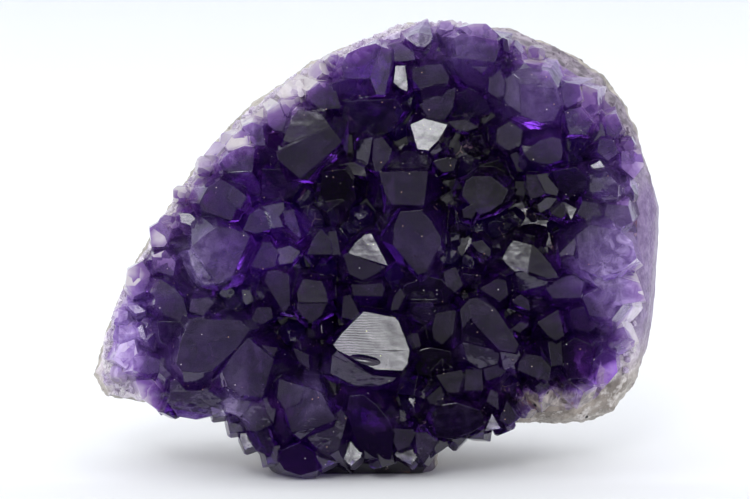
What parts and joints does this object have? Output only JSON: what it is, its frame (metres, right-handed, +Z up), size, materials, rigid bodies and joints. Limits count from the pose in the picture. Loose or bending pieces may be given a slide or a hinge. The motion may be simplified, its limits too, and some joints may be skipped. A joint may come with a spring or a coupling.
{
  "type": "amethyst cluster",
  "caption": "Free-standing amethyst cluster: a teardrop-shaped lens of pale rock whose front is crowded with violet quartz points, standing upright on a flat foot.",
  "frame": {"origin": "on the floor, under the centre of the bounding box", "axes": "+Z up, the crystal face looks along -Y and leans back a little, +X to the viewer's right along the long way of the teardrop"},
  "size_m": [0.1202, 0.0538, 0.0938],
  "materials": {
    "pale_rock": "rough, with a ground, slightly glossy quartz rim",
    "amethyst": "clear deep violet crystal with glossy natural faces"
  },
  "bodies": {
    "root": {"rock_matrix": "pale_rock", "amethyst_crystals": "amethyst"}
  },
  "joints": []
}
